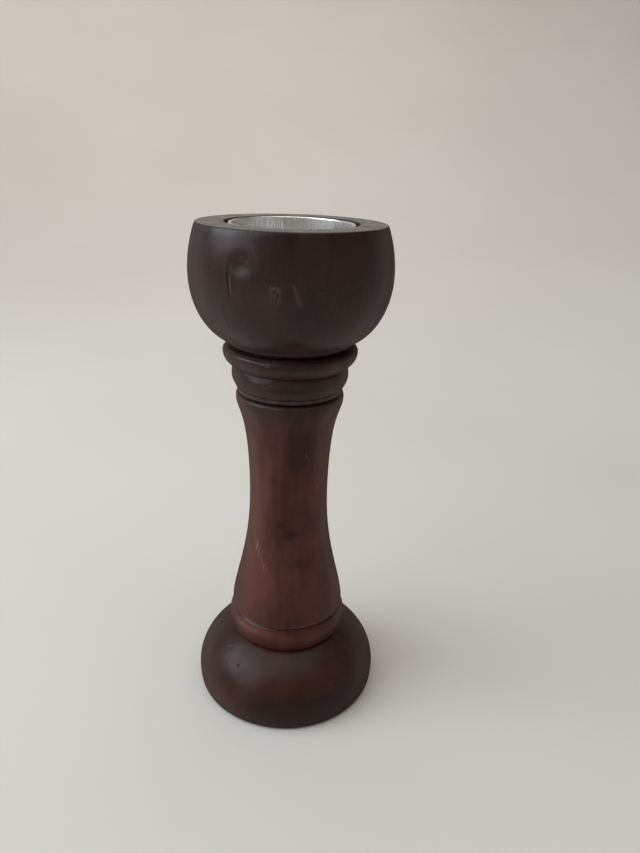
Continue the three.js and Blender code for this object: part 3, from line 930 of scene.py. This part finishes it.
def cut_away(piece, cutter_mesh):
    """Cuts a shape out of a piece for good."""
    cutter = bpy.data.objects.new("cutter", cutter_mesh)
    bpy.context.scene.collection.objects.link(cutter)
    cut = piece.modifiers.new("cut", "BOOLEAN")
    cut.object = cutter
    cut.solver = "EXACT"
    shaped = piece.evaluated_get(bpy.context.evaluated_depsgraph_get())
    mesh = bpy.data.meshes.new_from_object(shaped)
    piece.modifiers.clear()
    piece.data = mesh
    bpy.data.objects.remove(cutter)
    mesh.set_sharp_from_angle(angle=CORNER_TURN)


def make_screw(node, head_up, zinc):
    """Wood screw with a wound thread and a cross in its round head."""
    screw = Turned(node, even_columns(SCREW_COLUMNS), Outline(node, THREAD_PITCH / THREAD_STEPS))
    low, high = screw.height.min(), screw.height.max()
    head_top, tip = (high, low) if head_up else (low, high)
    seat = screw.height[np.argmax(screw.radius)]
    into = math.copysign(1, tip - head_top)
    depth = (into * (screw.height - seat))[:, None]
    shank = screw.radius[np.abs(screw.height - seat) > PLAIN_SHANK].max()
    wound = thread_radius(depth, screw.angle, abs(tip - seat), shank)
    screw.lift += screw.radius[:, None] * (wound / shank - 1)
    piece = screw.build("holder", zinc)
    cut_away(piece, recess_cutter(head_top, into))


def make_fasteners():
    zinc = drawn_metal("zinc_plate", colour=(0.60, 0.61, 0.60), dull=(0.42, 0.42, 0.39),
                       rough_low=0.30, rough_high=0.48)
    for node in ("bowl_screw_washer", "base_screw_washer"):
        washer = Turned(node, even_columns(WASHER_COLUMNS))
        washer.build("holder", zinc)
    make_screw("bowl_screw", True, zinc)
    make_screw("base_screw", False, zinc)


def make_felt():
    """Disc cut from a sheet of felt, glued under the base: matted below, with a ragged cut edge."""
    felt = Turned("felt_pad", even_columns(FELT_COLUMNS), Outline("felt_pad", FELT_RING_STEP))
    low, high = felt.height.min(), felt.height.max()
    loose = np.clip((high - felt.height) / (high - low) / FELT_GLUED, 0, 1)[:, None]
    places = felt.places().reshape(-1, 3) / FELT_TUFT
    mat = np.array([noise.noise(Vector(p)) for p in places]).reshape(felt.lift.shape)
    reach = np.where(felt.normal[:, :1] > FELT_EDGE, FELT_FUZZ, FELT_PILE)
    inside = np.clip(felt.radius / FELT_TUFT, 0, 1)[:, None]
    felt.lift -= loose * inside * reach * (0.5 + 0.5 * np.clip(mat * FELT_CONTRAST, -1, 1))
    material = felt_material("brown_felt", dark=(0.016, 0.013, 0.011), light=(0.034, 0.028, 0.023))
    piece = felt.build("holder", material)


# Stage, light and camera


def make_stage():
    """Floor that sweeps up into a round wall, so that it is plain from every side."""
    rows = [(FLOOR_RADIUS * k / FLOOR_ROWS, 0.0) for k in range(1, FLOOR_ROWS + 1)]
    for k in range(1, SWEEP_ROWS + 1):
        angle = math.pi / 2 * k / SWEEP_ROWS
        rows.append((FLOOR_RADIUS + FLOOR_SWEEP * math.sin(angle), FLOOR_SWEEP * (1 - math.cos(angle))))
    mesh = bmesh.new()
    centre = mesh.verts.new((0, 0, 0))
    loops = []
    for radius, height in rows:
        loops.append([mesh.verts.new((radius * math.sin(a), -radius * math.cos(a), height))
                      for a in even_columns(STAGE_COLUMNS)])
    for k in range(STAGE_COLUMNS):
        after = (k + 1) % STAGE_COLUMNS
        mesh.faces.new((centre, loops[0][k], loops[0][after]))
        for low, high in zip(loops, loops[1:]):
            mesh.faces.new((low[k], high[k], high[after], low[after]))
    data = bpy.data.meshes.new("stage")
    mesh.to_mesh(data)
    mesh.free()
    data.shade_smooth()
    stage = bpy.data.objects.new("stage", data)
    bpy.context.scene.collection.objects.link(stage)
    paper = stage_material("stage_paper", colour=(0.66, 0.624, 0.584), shade=(0.624, 0.589, 0.549))
    data.materials.append(paper)


def add_lamp(name, place, target, size, power, colour, spread):
    """Soft box: its size is its width and height, and its spread the angle that its grid lets out."""
    lamp = bpy.data.lights.new(name, "AREA")
    lamp.shape = "RECTANGLE"
    lamp.size, lamp.size_y = size
    lamp.energy = power
    lamp.color = colour
    lamp.spread = math.radians(spread)
    holder = bpy.data.objects.new(name, lamp)
    holder.location = place
    holder.rotation_euler = (Vector(target) - Vector(place)).to_track_quat("-Z", "Y").to_euler()
    holder.visible_camera = False
    bpy.context.scene.collection.objects.link(holder)


def make_light():
    """A broad soft light from above, daylight from the left in three parts, and a glow on the wall."""
    add_lamp("sky", place=(-0.25, -0.2, 1.95), target=(-0.25, -0.15, 0.0), size=(3.2, 2.6), power=13.6,
             colour=(1.0, 0.995, 0.98), spread=95)
    add_lamp("window", place=(-1.04, -0.32, 0.94), target=(0, 0.0, 0.15), size=(1.45, 1.1), power=4.4,
             colour=DAYLIGHT, spread=WINDOW_SPREAD)
    add_lamp("window_head", place=(-1.06, -0.04, 0.80), target=(0, 0.0, 0.05), size=(0.8, 0.5), power=1.2,
             colour=DAYLIGHT, spread=WINDOW_SPREAD)
    add_lamp("window_foot", place=(-1.17, -0.36, 0.06), target=(0, 0.0, 0.06), size=(1.45, 0.1), power=0.7,
             colour=DAYLIGHT, spread=WINDOW_SPREAD)
    add_lamp("backdrop", place=(-0.3, 0.9, 1.6), target=(-0.35, 2.0, 0.3), size=(1.6, 0.4), power=8.5,
             colour=(1.0, 0.99, 0.97), spread=140)
    world = bpy.data.worlds.new("room")
    world.use_nodes = True
    surround = world.node_tree.nodes["Background"]
    surround.inputs["Color"].default_value = ROOM_COLOUR
    surround.inputs["Strength"].default_value = ROOM_STRENGTH
    bpy.context.scene.world = world


def make_camera():
    """The photograph's view."""
    ahead = math.cos(CAMERA_PITCH)
    forward = Vector((math.sin(CAMERA_YAW) * ahead, math.cos(CAMERA_YAW) * ahead, -math.sin(CAMERA_PITCH)))
    level = Vector((math.cos(CAMERA_YAW), -math.sin(CAMERA_YAW), 0))
    upright = level.cross(forward)
    right = math.cos(CAMERA_ROLL) * level + math.sin(CAMERA_ROLL) * upright
    up = right.cross(forward)
    data = bpy.data.cameras.new("camera")
    data.sensor_fit = "VERTICAL"
    data.sensor_height = SENSOR_MM
    data.lens = FOCAL_PIXELS / IMAGE_PIXELS_HIGH * SENSOR_MM
    data.clip_start = CLIP_START
    camera = bpy.data.objects.new("camera", data)
    turned = Matrix((right, up, -forward)).transposed().to_4x4()
    camera.matrix_world = Matrix.Translation(CAMERA_PLACE) @ turned
    bpy.context.scene.collection.objects.link(camera)
    bpy.context.scene.camera = camera


make_bowl()
make_column()
make_base()
make_cup()
make_fasteners()
make_felt()
make_stage()
make_light()
make_camera()
bpy.context.scene.view_settings.view_transform = "Standard"
